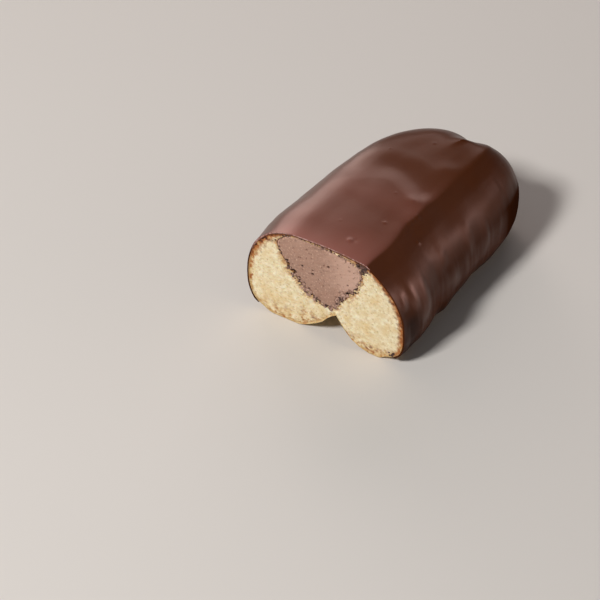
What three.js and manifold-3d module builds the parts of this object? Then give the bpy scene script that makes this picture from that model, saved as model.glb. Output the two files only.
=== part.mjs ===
// Half of a chocolate cream bun, cut across the middle.
//
// A boat of yellow sponge is folded up round a wedge of chocolate cream and coated with
// chocolate on its top, sides and far end. Its underside is bare, with a groove under the
// fold. Units are millimetres. While it is being shaped, x runs from the cut face to the
// far end, +y is the left lobe seen from the cut, and z is up from the two feet.
import * as THREE from "three";
import { mergeVertices } from "three/addons/utils/BufferGeometryUtils.js";
import Module from "manifold-3d";

const wasm = await Module();
wasm.setup();

// Driving dimensions.
const LENGTH = 84; // from the cut face to the far end
const HALF_WIDTH = 29.1; // of the cut face
const HEIGHT = 38.8; // of the cut face
const COAT = 0.7; // thickness of the chocolate
const GAP = 0.3; // between neighbouring solids

// How finely the outer form is divided.
const STATIONS = 28; // from the cut face to the tip
const PROFILE_STEPS = 17; // from a foot up to the middle of the top

// The cut face's outline on each side: half width and height, from the round foot to the
// middle. The right side has the ridge where the flat top meets the flank.
const LEFT_OUTLINE = [
  [19.0, 0],
  [22.6, 0.8],
  [25.6, 2.6],
  [27.6, 5.4],
  [28.9, 10.2],
  [29.1, 16.7],
  [28.2, 22.6],
  [26.0, 28.6],
  [22.5, 33.2],
  [18.4, 36.2],
  [12.5, 38.1],
  [6, 38.6],
  [0, HEIGHT],
];
const RIGHT_OUTLINE = [
  [19.0, 0],
  [22.6, 1.2],
  [25.6, 2.9],
  [27.6, 5.2],
  [29.1, 10.2],
  [29.1, 16.7],
  [28.0, 22.0],
  [25.0, 28.0],
  [21.0, 32.7],
  [17.3, 35.8],
  [14.9, 37.6],
  [10.5, 38.1],
  [6, 38.6],
  [0, HEIGHT],
];

// The plan: each side is a superellipse, 1 = s^round + y^square, with s the share of LENGTH.
const LEFT_PLAN = { round: 4.1, square: 2.6, swell: 0.8 };
const RIGHT_PLAN = { round: 4.1, square: 3.1, swell: 1.8 };
const SWELL_SPAN = 0.28; // share of the length that bulges beside the cut
const DRIFT = -2.0; // how far the middle line leans to the right by the tip
const BEND = -10.1; // and how far it curves
const SPINE = 0.8; // share of the length where the middle line of the top ends
const SPINE_LAG = 3; // how late it starts to fall behind the sides
const TIP_HEIGHT = 0.86; // height of the tip, as a share of the cut's
const TIP_FALL = 13; // how late the sides start to fall; the middle of the top stays up

// The fold at the far end, where the two lobes meet.
const CREASE_DEPTH = 6.5;
const CREASE_WIDTH = 2.9;
const CREASE_TOP = 0.5; // share of its depth that is left at the top
const CREASE_START = 0.8; // share of the length

// Where chocolate ran together along each foot, or ran thin: [place along x, reach].
const LEFT_LUMPS = [[14, 0.8], [38, -0.6], [60, 0.7]];
const RIGHT_LUMPS = [[2, 1.3], [27, 1.4], [45, -1.0]];
const LUMP_SPREAD = 5; // along x
const LUMP_HEIGHT = 15; // they fade out above the feet by here

// The groove in the underside: y and height at the cut, and its size at the tip.
const GROOVE = [
  [-16.5, 0],
  [-13.0, 1.1],
  [-10.2, 2.8],
  [-8.0, 5.2],
  [-6.0, 7.8],
  [-4.3, 10.7],
  [-2.7, 9.6],
  [-1.0, 7.9],
  [0.7, 5.5],
  [3.6, 3.2],
  [6.5, 1.4],
  [9.5, 0],
];
const GROOVE_APEX = 5; // index of its highest point
const GROOVE_TIP = 0.4; // share of its size that is left at the tip
const GROOVE_TAPER_FROM = 0.5; // share of the length

// The cream's section at the cut: y and height, from its tip round the right side.
const CREAM = [
  [-3.4, 13.4],
  [-5.4, 18.0],
  [-8.6, 21.8],
  [-11.2, 25.0],
  [-12.9, 30.6],
  [-12.0, 34.6],
  [-6.5, 35.9],
  [0, 36.7],
  [6.5, 36.7],
  [13.1, 36.1],
  [17.6, 32.4],
  [16.2, 27.8],
  [13.0, 23.0],
  [9.3, 18.8],
  [5.6, 15.4],
  [1.4, 13.6],
];
const CREAM_CENTRE = [1.5, 27.2]; // the section shrinks towards this point
const CREAM_LENGTH = 68;
const CREAM_END = 0.45; // share of its size that is left at its far end
const CREAM_STEPS = 9;

// The lower edge of the chocolate, above the bare round of the feet.
const EDGE_HEIGHT = 1.7;
const EDGE_WAVES = 0.45;
const BARE_PATCH = 2.5; // how much higher it ends under the fold at the far end
const BARE_SPAN = 5; // how far round the fold that patch reaches
const FOOT_SWELL = 1; // below this height the sponge swells out to the full form

const mix = (a, b, t) => a + (b - a) * t;
const smooth = (t) => THREE.MathUtils.smoothstep(t, 0, 1);

/** Points at even steps along a smooth curve through [a, b] pairs. */
function curvePoints(pairs, steps) {
  const curve = new THREE.SplineCurve(pairs.map(([a, b]) => new THREE.Vector2(a, b)));
  return curve.getSpacedPoints(steps);
}

/** Shares of the length from 0 to 1, even along the plan's rounded edge. */
function stationShares(count) {
  const fine = 600;
  const edge = [];
  for (let i = 0; i <= fine; i++) {
    const share = 1 - (1 - i / fine) ** 2.5;
    edge.push([share * LENGTH, HALF_WIDTH * (1 - share ** 3) ** (1 / 2.6)]);
  }
  return curvePointsByLength(edge, count).map(([x]) => x / LENGTH);
}

/** Points at even steps along a polyline. */
function curvePointsByLength(line, count) {
  const run = [0];
  for (let i = 1; i < line.length; i++)
    run.push(run[i - 1] + Math.hypot(line[i][0] - line[i - 1][0], line[i][1] - line[i - 1][1]));
  const total = run[run.length - 1];
  const points = [];
  for (let k = 0, i = 0; k <= count; k++) {
    const want = (total * k) / count;
    while (i < line.length - 2 && run[i + 1] < want) i++;
    const t = (want - run[i]) / (run[i + 1] - run[i]);
    points.push([mix(line[i][0], line[i + 1][0], t), mix(line[i][1], line[i + 1][1], t)]);
  }
  return points;
}

/** Sideways place of the bun's middle line at a share of the length. */
const middle = (share) => DRIFT * share + BEND * share * share;

/** Half width of one side at a share of the length. */
function sideWidth(plan, share) {
  const swell = plan.swell * Math.sin(Math.PI * Math.min(share / SWELL_SPAN, 1)) ** 2;
  return (HALF_WIDTH + swell) * (1 - share ** plan.round) ** (1 / plan.square);
}

/** How far a point near a foot stands out with the lumps there. */
function lumpAt(lumps, x, z) {
  const fade = smooth(1 - z / LUMP_HEIGHT);
  const reach = ([place, most]) => most * Math.exp(-(((x - place) / LUMP_SPREAD) ** 2));
  return fade * lumps.reduce((sum, lump) => sum + reach(lump), 0);
}

/** Pushes a point of the far end inwards along the fold between the lobes. */
function crease(p) {
  const share = p.x / LENGTH;
  const near = Math.exp(-Math.abs(p.y - middle(1)) / CREASE_WIDTH);
  const low = mix(1, CREASE_TOP, smooth(p.z / HEIGHT));
  p.x -= CREASE_DEPTH * near * low * smooth((share - CREASE_START) / (1 - CREASE_START));
}

/**
 * The outer form as rows of points, one row for each station. A row runs from the left
 * foot over the top to the right foot. In the last row both sides meet in one line.
 */
function outerForm() {
  const steps = PROFILE_STEPS;
  const profiles = [LEFT_OUTLINE, RIGHT_OUTLINE].map((o) => curvePoints(o, steps));
  return stationShares(STATIONS).map((share) => {
    const spineX = LENGTH * (share - (1 - SPINE) * share ** SPINE_LAG);
    const fall = (1 - TIP_HEIGHT) * share ** TIP_FALL;
    const row = new Array(2 * steps + 1);
    [LEFT_PLAN, RIGHT_PLAN].forEach((plan, right) => {
      const sign = right ? -1 : 1;
      const width = sideWidth(plan, share);
      // Towards the tip each side's profile turns into the mean of the two.
      const own = smooth(0.5 + 0.5 * Math.min(width / HALF_WIDTH, 1));
      for (let j = 0; j <= steps; j++) {
        const mine = profiles[right][j];
        const other = profiles[1 - right][j];
        const inward = 1 - mix(other.x, mine.x, own) / HALF_WIDTH;
        const height = 1 - fall * (1 - smooth(inward ** 2));
        const p = new THREE.Vector3(
          mix(share * LENGTH, spineX, inward),
          sign * width * (1 - inward) + middle(share),
          mix(other.y, mine.y, own) * height,
        );
        p.y += sign * lumpAt(right ? RIGHT_LUMPS : LEFT_LUMPS, p.x, p.z);
        crease(p);
        row[right ? 2 * steps - j : j] = p;
      }
    });
    return row;
  });
}

/** The rows of a form moved inwards by a distance, with the cut face kept flat. */
function inset(rows, distance) {
  const last = rows.length - 1;
  const end = rows[0].length - 1;
  const normalAt = (k, j) => {
    const along = rows[Math.min(k + 1, last)][j].clone().sub(rows[Math.max(k - 1, 0)][j]);
    const across = rows[k][Math.min(j + 1, end)].clone().sub(rows[k][Math.max(j - 1, 0)]);
    return across.cross(along).normalize();
  };
  return rows.map((row, k) =>
    row.map((p, j) => {
      // The two sides share the last row, and its middle has no direction of its own.
      const n = normalAt(k === last && 2 * j === end ? k - 1 : k, j);
      if (k === last) n.add(normalAt(k, end - j));
      if (k === 0) n.x = 0;
      return p.clone().addScaledVector(n.normalize(), -distance);
    }),
  );
}

/** Ends a row at a height on each side: what is lower gathers where the row crosses it. */
function endAt(row, heights) {
  heights.forEach((height, right) => {
    const at = (j) => row[right ? row.length - 1 - j : j];
    let k = 0;
    while (at(k + 1).z < height) k++;
    const [below, above] = [at(k), at(k + 1)];
    const crossing = below.clone().lerp(above, (height - below.z) / (above.z - below.z));
    for (let j = 0; j <= k; j++) at(j).copy(crossing);
  });
}

/** A triangle mesh from rows of points, gathered quad by quad. */
class Faces {
  constructor() {
    this.corners = [];
  }
  triangle(a, b, c) {
    this.corners.push(...a.toArray(), ...b.toArray(), ...c.toArray());
  }
  quad(a, b, c, d) {
    this.triangle(a, b, c);
    this.triangle(a, c, d);
  }
  geometry() {
    const loose = new THREE.BufferGeometry();
    loose.setAttribute("position", new THREE.Float32BufferAttribute(this.corners, 3));
    return mergeVertices(loose, 1e-3);
  }
  solid() {
    const merged = this.geometry();
    const index = [];
    for (let i = 0; i < merged.index.count; i += 3) {
      const [a, b, c] = [0, 1, 2].map((n) => merged.index.getX(i + n));
      if (a !== b && b !== c && c !== a) index.push(a, b, c);
    }
    return new wasm.Manifold(
      new wasm.Mesh({
        numProp: 3,
        vertProperties: merged.attributes.position.array,
        triVerts: new Uint32Array(index),
      }),
    );
  }
}

/** Skins two neighbouring rows. Rows run left to right, so this side faces out. */
function skin(faces, rows, outwards) {
  for (let k = 0; k + 1 < rows.length; k++)
    for (let j = 0; j + 1 < rows[k].length; j++) {
      const ring = [rows[k][j], rows[k][j + 1], rows[k + 1][j + 1], rows[k + 1][j]];
      faces.quad(...(outwards ? ring : ring.reverse()));
    }
}

/** The outer form moved inwards above the feet, and filled: the sponge before its cuts. */
function loaf(distance) {
  const outer = outerForm();
  const rows = inset(outer, distance);
  rows.forEach((row, k) =>
    row.forEach((p, j) => p.lerp(outer[k][j], 1 - smooth(outer[k][j].z / FOOT_SWELL))),
  );
  const end = rows[0].length - 1;
  const faces = new Faces();
  skin(faces, rows, true);
  for (let k = 0; k + 1 < rows.length; k++)
    faces.quad(rows[k][0], rows[k + 1][0], rows[k + 1][end], rows[k][end]);
  const face = rows[0];
  for (let j = 0; 2 * j < end; j++)
    faces.quad(face[j], face[end - j], face[Math.max(end - j - 1, j + 1)], face[j + 1]);
  return faces.solid();
}

/** A solid through closed sections of [y, z] pairs, one at each x, with flat ends. */
function loft(sections) {
  const rings = sections.map(({ x, pairs }) => pairs.map(([y, z]) => new THREE.Vector3(x, y, z)));
  const faces = new Faces();
  const count = rings[0].length;
  for (let k = 0; k + 1 < rings.length; k++)
    for (let i = 0; i < count; i++) {
      const next = (i + 1) % count;
      faces.quad(rings[k][i], rings[k][next], rings[k + 1][next], rings[k + 1][i]);
    }
  [rings[0], rings[rings.length - 1]].forEach((ring, last) => {
    const hub = ring.reduce((sum, p) => sum.add(p), new THREE.Vector3()).divideScalar(count);
    for (let i = 0; i < count; i++) {
      const next = (i + 1) % count;
      faces.triangle(hub, ring[last ? i : next], ring[last ? next : i]);
    }
  });
  const made = faces.solid();
  if (made.volume() < 0) throw new Error("a loft is inside out");
  return made;
}

/** The groove under the fold, run past both ends and below the feet. */
function groove() {
  const past = 4;
  const steps = 12;
  const sections = [];
  for (let k = 0; k <= steps; k++) {
    const x = mix(-past, LENGTH + past, k / steps);
    const share = THREE.MathUtils.clamp(x / LENGTH, 0, 1);
    const taper = smooth((share - GROOVE_TAPER_FROM) / (1 - GROOVE_TAPER_FROM));
    const size = mix(1, GROOVE_TIP, taper);
    const apex = GROOVE[GROOVE_APEX][0];
    // The groove's top moves over to the line where the lobes meet at the tip.
    const shift = mix(apex, 0, taper) + middle(share);
    const pairs = GROOVE.map(([y, z]) => [shift + (y - apex) * size, z * size]);
    const [first, final] = [pairs[0], pairs[pairs.length - 1]];
    sections.push({ x, pairs: [[first[0], -1], ...pairs, [final[0], -1]].reverse() });
  }
  return loft(sections);
}

/** The cream wedge, grown by a distance, from an x at or before the cut face. */
function cream(grown, from) {
  const [cy, cz] = CREAM_CENTRE;
  const count = CREAM.length;
  const sections = [];
  for (let k = 0; k <= CREAM_STEPS; k++) {
    const share = k / CREAM_STEPS;
    const x = k === 0 ? from : share * (CREAM_LENGTH + grown);
    const size = mix(1, CREAM_END, share ** 4);
    const shift = middle(Math.max(x, 0) / LENGTH);
    const pairs = CREAM.map(([y, z], i) => {
      const [before, after] = [CREAM[(i + count - 1) % count], CREAM[(i + 1) % count]];
      const [dy, dz] = [after[0] - before[0], after[1] - before[1]];
      const out = grown / Math.hypot(dy, dz);
      return [cy + (y - cy) * size - dz * out + shift, cz + (z - cz) * size + dy * out];
    });
    sections.push({ x, pairs: pairs.reverse() });
  }
  return loft(sections);
}

/** The chocolate shell: the outer form, a copy moved inwards, and the rim between them. */
function shell() {
  const outer = outerForm();
  const inner = inset(outer, COAT);
  const end = outer[0].length - 1;
  const faces = new Faces();
  outer.forEach((row, k) => {
    const heights = [row[0], row[end]].map((foot, right) => {
      // Both sides end in the same point at the tip.
      const side = k === outer.length - 1 ? 0 : right;
      const wave = EDGE_WAVES * (1 + Math.sin(1.9 * k + 0.8 * side) * Math.cos(0.7 * k));
      const away = Math.hypot(foot.x - LENGTH, foot.y - middle(1)) / BARE_SPAN;
      return EDGE_HEIGHT + wave + BARE_PATCH * Math.exp(-(away ** 2));
    });
    endAt(row, heights);
    endAt(inner[k], heights);
  });
  skin(faces, outer, true);
  skin(faces, inner, false);
  for (let j = 0; j < end; j++)
    faces.quad(outer[0][j], inner[0][j], inner[0][j + 1], outer[0][j + 1]);
  for (let k = 0; k + 1 < outer.length; k++) {
    faces.quad(outer[k][0], outer[k + 1][0], inner[k + 1][0], inner[k][0]);
    faces.quad(outer[k][end], inner[k][end], inner[k + 1][end], outer[k + 1][end]);
  }
  return faces.solid();
}

/** A named mesh from a solid. */
function meshOf(name, made, look) {
  const { numProp, numVert, vertProperties, triVerts } = made.getMesh();
  const positions = new Float32Array(numVert * 3);
  for (let i = 0; i < numVert; i++)
    positions.set(vertProperties.subarray(i * numProp, i * numProp + 3), i * 3);
  const geometry = new THREE.BufferGeometry();
  geometry.setAttribute("position", new THREE.BufferAttribute(positions, 3));
  geometry.setIndex(new THREE.BufferAttribute(triVerts, 1));
  geometry.computeVertexNormals();
  const mesh = new THREE.Mesh(geometry, new THREE.MeshStandardMaterial(look));
  mesh.name = name;
  return mesh;
}

const underside = groove();
const tunnel = cream(1.5 * GAP, -2); // its corners come nearer than its faces
const sponge = loaf(COAT + GAP).subtract(underside).subtract(tunnel);
const coating = shell().subtract(underside);

const bun = new THREE.Group();
bun.add(meshOf("sponge", sponge, { color: 0xe0c888, roughness: 0.95, metalness: 0 }));
bun.add(meshOf("cream_filling", cream(0, 0), { color: 0x94776a, roughness: 0.8, metalness: 0 }));
bun.add(meshOf("chocolate_coating", coating, { color: 0x4a2c22, roughness: 0.35, metalness: 0 }));

// The origin is the middle of the bounding box, on the surface that the feet stand on.
const centre = new THREE.Box3().setFromObject(bun).getCenter(new THREE.Vector3());
for (const piece of bun.children) piece.position.set(-centre.x, -centre.y, 0);

export default bun;
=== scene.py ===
"""Looks of half a chocolate cream bun: satin chocolate, porous sponge, a cream wedge and crumbs.

Shapes are worked out in millimetres in the cut's own frame: x runs from the cut face to the
far end, +y is the left lobe seen from the cut, and z is up from the surface it stands on.
"""

import math
import random

import bmesh
import bpy
import numpy as np
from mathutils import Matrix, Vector, noise


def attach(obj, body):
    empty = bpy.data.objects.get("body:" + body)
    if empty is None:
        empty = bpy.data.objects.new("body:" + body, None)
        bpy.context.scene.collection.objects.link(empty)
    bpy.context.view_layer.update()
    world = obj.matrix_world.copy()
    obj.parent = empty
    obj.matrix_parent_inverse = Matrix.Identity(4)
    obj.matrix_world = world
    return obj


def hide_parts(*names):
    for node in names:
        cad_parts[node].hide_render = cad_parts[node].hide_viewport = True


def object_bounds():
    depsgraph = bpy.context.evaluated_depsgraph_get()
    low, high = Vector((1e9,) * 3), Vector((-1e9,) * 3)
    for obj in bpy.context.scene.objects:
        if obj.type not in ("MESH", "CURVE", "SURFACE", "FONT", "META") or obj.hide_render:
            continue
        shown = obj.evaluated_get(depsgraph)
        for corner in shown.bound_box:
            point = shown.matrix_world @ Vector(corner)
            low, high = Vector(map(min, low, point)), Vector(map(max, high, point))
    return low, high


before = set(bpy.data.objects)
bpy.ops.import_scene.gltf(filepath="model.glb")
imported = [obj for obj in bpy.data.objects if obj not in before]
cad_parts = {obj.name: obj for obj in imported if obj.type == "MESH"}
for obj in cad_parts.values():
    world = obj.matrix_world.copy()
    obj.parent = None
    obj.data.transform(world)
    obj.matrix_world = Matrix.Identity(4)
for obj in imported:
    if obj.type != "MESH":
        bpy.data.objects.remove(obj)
CAD_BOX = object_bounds()

# Driving dimensions, in millimetres. They are those of the solids, but the chocolate is a little
# thicker and closer to the sponge, the ridge has more points and the cream's centre is lower.
LENGTH = 84.0
HALF_WIDTH = 29.1
HEIGHT = 38.8
COAT = 0.75  # thickness of the chocolate
BEHIND_COAT = 0.05  # gap between it and the sponge

LEFT_OUTLINE = [
    (19.0, 0), (22.6, 0.8), (25.6, 2.6), (27.6, 5.4), (28.9, 10.2), (29.1, 16.7), (28.2, 22.6),
    (26.0, 28.6), (22.5, 33.2), (18.4, 36.2), (12.5, 38.1), (6, 38.6), (0, HEIGHT),
]
RIGHT_OUTLINE = [
    (19.0, 0), (22.6, 1.2), (25.6, 2.9), (27.6, 5.2), (29.1, 10.2), (29.1, 16.7), (28.0, 22.0),
    (25.0, 28.0), (21.0, 32.7), (17.3, 35.8), (15.8, 36.95), (14.8, 37.5), (13.4, 37.85),
    (10.5, 38.15), (6, 38.6), (0, HEIGHT),
]
LEFT_PLAN = {"round": 4.1, "square": 2.6, "swell": 0.8}
RIGHT_PLAN = {"round": 4.1, "square": 3.1, "swell": 1.8}
SWELL_SPAN = 0.28
DRIFT = -2.0
BEND = -10.1
SPINE = 0.8
SPINE_LAG = 3
TIP_HEIGHT = 0.86
TIP_FALL = 13
CREASE_DEPTH = 6.5
CREASE_WIDTH = 2.9
CREASE_TOP = 0.5
CREASE_START = 0.8
CREASE_ROUND = 1.0
LEFT_LUMPS = [(14, 0.8), (38, -0.6), (60, 0.7)]
RIGHT_LUMPS = [(2, 1.3), (27, 1.4), (45, -1.0)]
LUMP_SPREAD = 5.0
LUMP_HEIGHT = 15.0

GROOVE = [
    (-16.5, 0), (-13.0, 1.1), (-10.2, 2.8), (-8.0, 5.2), (-6.0, 7.8), (-4.3, 10.7),
    (-2.7, 9.6), (-1.0, 7.9), (0.7, 5.5), (3.6, 3.2), (6.5, 1.4), (9.5, 0),
]
GROOVE_APEX = 5  # which of those points is the highest
GROOVE_TIP = 0.4
GROOVE_TAPER_FROM = 0.5
GROOVE_SHARE = 0.7  # of the width between the feet's edges, at most
LEAST_FOOT = 0.2
CREAM = [
    (-3.4, 13.4), (-5.4, 18.0), (-8.6, 21.8), (-11.2, 25.0), (-12.9, 30.6), (-12.0, 34.6),
    (-6.5, 35.9), (0, 36.7), (6.5, 36.7), (13.1, 36.1), (17.6, 32.4), (16.2, 27.8),
    (13.0, 23.0), (9.3, 18.8), (5.6, 15.4), (1.4, 13.6),
]
CREAM_CENTRE = np.array([1.5, 26.5])
CREAM_LENGTH = 68.0
CREAM_END = 0.45
EDGE_HEIGHT = 1.7
EDGE_WAVES = 0.45
BARE_PATCH = 2.5
BARE_SPAN = 5.0
FOOT_SWELL = 1.0

# How finely the solids and the pieces are divided. Stations are even along a plan of their own.
STATION_PLAN = {"round": 3, "square": 2.6}
STATION_CROWDING = 2.5  # how much closer that plan's own points lie towards the tip
SOLID_STATIONS = 28
SOLID_STEPS = 17
PROFILE_STEPS = 160
COAT_STATIONS = 232
INNER_STRIDE = 4
SPONGE_STATIONS = 96
BOTTOM_STEPS = 190
FACE_RINGS = 84
CREAM_STEPS = 400
CREAM_RINGS = 70

CUT = 0.12  # how far the sponge's face stands back from the chocolate's rim


def mix(a, b, t):
    return a + (b - a) * t


def smooth(t):
    t = np.clip(t, 0, 1)
    return t * t * (3 - 2 * t)


def rise(value, start, span):
    """0 before a start, smoothly up to 1 over a span. A negative span runs the other way."""
    return smooth((value - start) / span)


def hump(value, centre, reach):
    """A smooth hump: 1 at its centre and 0.37 at its reach to both sides."""
    return np.exp(-(((value - centre) / reach) ** 2))


def band(distance, width, out_at=1.0):
    """A band beside an edge, full close to it and gone at so many widths from it."""
    return smooth(out_at - distance / width)


def unit(vectors):
    """The same vectors, each scaled to a length of 1."""
    return vectors / np.maximum(np.linalg.norm(vectors, axis=1, keepdims=True), 1e-12)


# ---------------- curves and the form


def along(points, count):
    """Points at count + 1 even steps along a polyline."""
    points = np.asarray(points, float)
    run = np.r_[0, np.cumsum(np.linalg.norm(np.diff(points, axis=0), axis=1))]
    want = np.linspace(0, run[-1], count + 1)
    return np.stack([np.interp(want, run, points[:, i]) for i in range(points.shape[1])], 1)


def spline(points, count, closed=False, mirrored=False, fine=24):
    """Even steps along a smooth curve. A mirrored one goes on past its end as if reflected."""
    p = np.asarray(points, float)
    past = p[-2:-1] * [-1, 1] if mirrored else p[-1:]
    before = np.roll(p, 1, 0) if closed else np.vstack([p[:1], p[:-1]])
    ends = np.roll(p, -1, 0) if closed else np.vstack([p[1:], p[-1:]])
    after = np.roll(p, -2, 0) if closed else np.vstack([p[2:], past, past])
    spans = len(p) if closed else len(p) - 1
    t = np.linspace(0, 1, fine, endpoint=False)[:, None]
    out = []
    for i in range(spans):
        v0, v1 = (ends[i] - before[i]) / 2, (after[i] - p[i]) / 2
        a = 2 * (p[i] - ends[i]) + v0 + v1
        b = 3 * (ends[i] - p[i]) - 2 * v0 - v1
        out.append(a * t**3 + b * t**2 + v0 * t + p[i])
    out.append(p[:1] if closed else p[-1:])
    return along(np.vstack(out), count)


def station_shares(count):
    """Shares of the length from 0 to 1, even along the plan's rounded edge."""
    share = 1 - (1 - np.linspace(0, 1, 2001)) ** STATION_CROWDING
    width = HALF_WIDTH * (1 - share ** STATION_PLAN["round"]) ** (1 / STATION_PLAN["square"])
    return along(np.stack([share * LENGTH, width], 1), count)[:, 0] / LENGTH


def middle(share):
    return DRIFT * share + BEND * share**2


def lump_at(lumps, x, z):
    reach = sum(most * hump(x, place, LUMP_SPREAD) for place, most in lumps)
    return band(z, LUMP_HEIGHT) * reach


def outer_form(shares, steps=PROFILE_STEPS):
    """The bun's outer form: rows of points from the left foot over the top to the right."""
    profiles = [spline(o, steps, mirrored=True) for o in (LEFT_OUTLINE, RIGHT_OUTLINE)]
    rows = np.zeros((len(shares), 2 * steps + 1, 3))
    share = np.asarray(shares)[:, None]
    spine_x = LENGTH * (share - (1 - SPINE) * share**SPINE_LAG)
    fall = (1 - TIP_HEIGHT) * share**TIP_FALL
    for right, plan in enumerate((LEFT_PLAN, RIGHT_PLAN)):
        sign = -1 if right else 1
        swell = plan["swell"] * np.sin(math.pi * np.minimum(share / SWELL_SPAN, 1)) ** 2
        width = (HALF_WIDTH + swell) * (1 - share ** plan["round"]) ** (1 / plan["square"])

        # Towards the tip both sides come to share one section, and so meet in a line.
        own = smooth(0.5 + 0.5 * np.minimum(width / HALF_WIDTH, 1))
        mine, other = profiles[right], profiles[1 - right]
        inward = 1 - mix(other[:, 0], mine[:, 0], own) / HALF_WIDTH
        height = 1 - fall * (1 - smooth(inward**2))
        x = mix(share * LENGTH, spine_x, inward)
        y = sign * width * (1 - inward) + middle(share)
        z = mix(other[:, 1], mine[:, 1], own) * height
        y = y + sign * lump_at(RIGHT_LUMPS if right else LEFT_LUMPS, x, z)

        # The crease down the far end, where the two lobes meet.
        rounded = np.hypot(y - middle(1), CREASE_ROUND) - CREASE_ROUND
        near = np.exp(-rounded / CREASE_WIDTH)
        low = mix(1, CREASE_TOP, smooth(z / HEIGHT))
        x = x - CREASE_DEPTH * near * low * rise(x / LENGTH, CREASE_START, 1 - CREASE_START)
        columns = slice(0, steps + 1) if not right else slice(2 * steps, steps - 1, -1)
        rows[:, columns] = np.stack([x, y, z], 2)
    return rows


# The far edge of the smooth raised part of the top, from the left to the ridge: x and y.
PLATE_EDGE = [
    (23.0, 25.0), (28.0, 19.0), (32.2, 14.2), (34.6, 9.5), (38.8, 3.3), (39.6, -2.0),
    (37.3, -7.8), (35.6, -12.6), (35.4, -17.0), (32.5, -23.0),
]
VALLEY = 0.85  # depth of the hollow behind that edge, where it is deepest
VALLEY_BEFORE = 2.8  # how far before the edge the top starts to fall
VALLEY_AWAY = 4.8  # from the edge to its bottom
VALLEY_SPREAD = 9.0  # and from there to its far side
VALLEY_MIDDLE = -9.0  # y of its deepest place
VALLEY_LEAST = 0.4  # share of the depth that is left far from there
VALLEY_REACH = 10.0
# Broad swells and hollows of the top: x, y, reach along x, reach along y, height.
SWELLS = [
    (60, -5, 15, 9, -0.7),
    (57, 13, 17, 6, 0.8),
    (52.5, -15.5, 3.2, 3.2, 0.4),
    (25, 19.5, 5, 2.5, -0.3),
    (23.5, -18.5, 2.6, 2.6, -0.4),
    (33.6, -13.0, 2.6, 2.6, 0.42),
    (12.5, 0, 5.5, 13, 0.18),
    (23.5, -1, 5, 12, -0.15),
    (50, 0, 5, 7, 0.25),
]
# That relief fades out at the cut, at the tip and down the sides: start and span.
RELIEF_AT_CUT = (0, 4)
RELIEF_AT_TIP = (80, -8)
RELIEF_DOWN = (24, 10)


def plate_relief(points):
    """The hollow behind the far edge of the raised part."""
    edge = spline(PLATE_EDGE, 70)
    towards = unit(np.gradient(edge, axis=0))
    gap = points[:, None, :2] - edge[None]
    nearest = np.argmin((gap**2).sum(2), 1)
    gap, towards = gap[np.arange(len(points)), nearest], towards[nearest]
    past = gap[:, 1] * towards[:, 0] - gap[:, 0] * towards[:, 1]
    strength = mix(VALLEY_LEAST, 1, hump(points[:, 1], VALLEY_MIDDLE, VALLEY_REACH))
    falling = rise(past, -VALLEY_BEFORE, VALLEY_AWAY + VALLEY_BEFORE)
    return -VALLEY * strength * falling * (1 - rise(past, VALLEY_AWAY, VALLEY_SPREAD))


def dressed_form(shares):
    """The outer form with the broad relief of the baked top."""
    rows = outer_form(shares)
    points = rows.reshape(-1, 3)
    x, y, z = points.T
    relief = plate_relief(points)
    for at_x, at_y, reach_x, reach_y, height in SWELLS:
        relief += height * hump(x, at_x, reach_x) * hump(y, at_y, reach_y)
    relief *= rise(x, *RELIEF_AT_CUT) * rise(x, *RELIEF_AT_TIP) * rise(z, *RELIEF_DOWN)
    points[:, 2] += relief
    return points.reshape(rows.shape)


def row_frame_shift():
    """From the cut's frame to the part's own, whose origin is under the middle of its box."""
    low = outer_form(station_shares(SOLID_STATIONS), SOLID_STEPS).reshape(-1, 3).min(0)
    return np.array([CAD_BOX[0][0] * 1000 - low[0], CAD_BOX[0][1] * 1000 - low[1], 0.0])


CUT_TO_ROW = row_frame_shift()

# ---------------- meshes


def grid_faces(index, flip=False):
    """Quads over a 2-D array of vertex numbers."""
    a, b, c, d = index[:-1, :-1], index[:-1, 1:], index[1:, 1:], index[1:, :-1]
    quads = np.stack([a, b, c, d], -1).reshape(-1, 4)
    return (quads[:, ::-1] if flip else quads).tolist()


def closed(index):
    """The same rows of vertex numbers, each ending with its first."""
    return np.column_stack([index, index[:, :1]])


def clean_faces(faces):
    """Faces without repeated corners, and without those that then have no area."""
    kept = []
    for face in faces:
        corners = [v for i, v in enumerate(face) if v != face[i - 1]]
        if len(set(corners)) > 2 and len(set(corners)) == len(corners):
            kept.append(corners)
    return kept


def fold_last_row(index):
    """Joins both sides of a form's last row, which meet in one line."""
    half = index.shape[1] // 2
    index[-1, half + 1 :] = index[-1, half - 1 :: -1]
    return index


def vertex_normals(points, faces):
    """Unit normals at the points, weighted by the faces' areas."""
    normals = np.zeros_like(points)
    for size in {len(f) for f in faces}:
        f = np.array([g for g in faces if len(g) == size])
        across = points[f[:, 2]] - points[f[:, 0]]
        other = points[f[:, 3 % size]] - points[f[:, 1]]
        n = np.cross(across, other)
        for i in range(size):
            np.add.at(normals, f[:, i], n)
    return unit(normals)


def noise_at(points, size, seed):
    """Smooth noise from -1 to 1 at points, in lumps of one size or of one along each axis."""
    shift = Vector((seed, seed * 0.7, -seed))
    return np.array([noise.noise(Vector(p) + shift) for p in points / np.asarray(size, float)])


def layers(points, table):
    """Noise added up from layers of (size, strength, seed)."""
    return sum(strength * noise_at(points, size, seed) for size, strength, seed in table)


def flat_points(pairs):
    """Points of the cut plane from [y, z] pairs."""
    return np.column_stack([np.zeros(len(pairs)), pairs])


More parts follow.
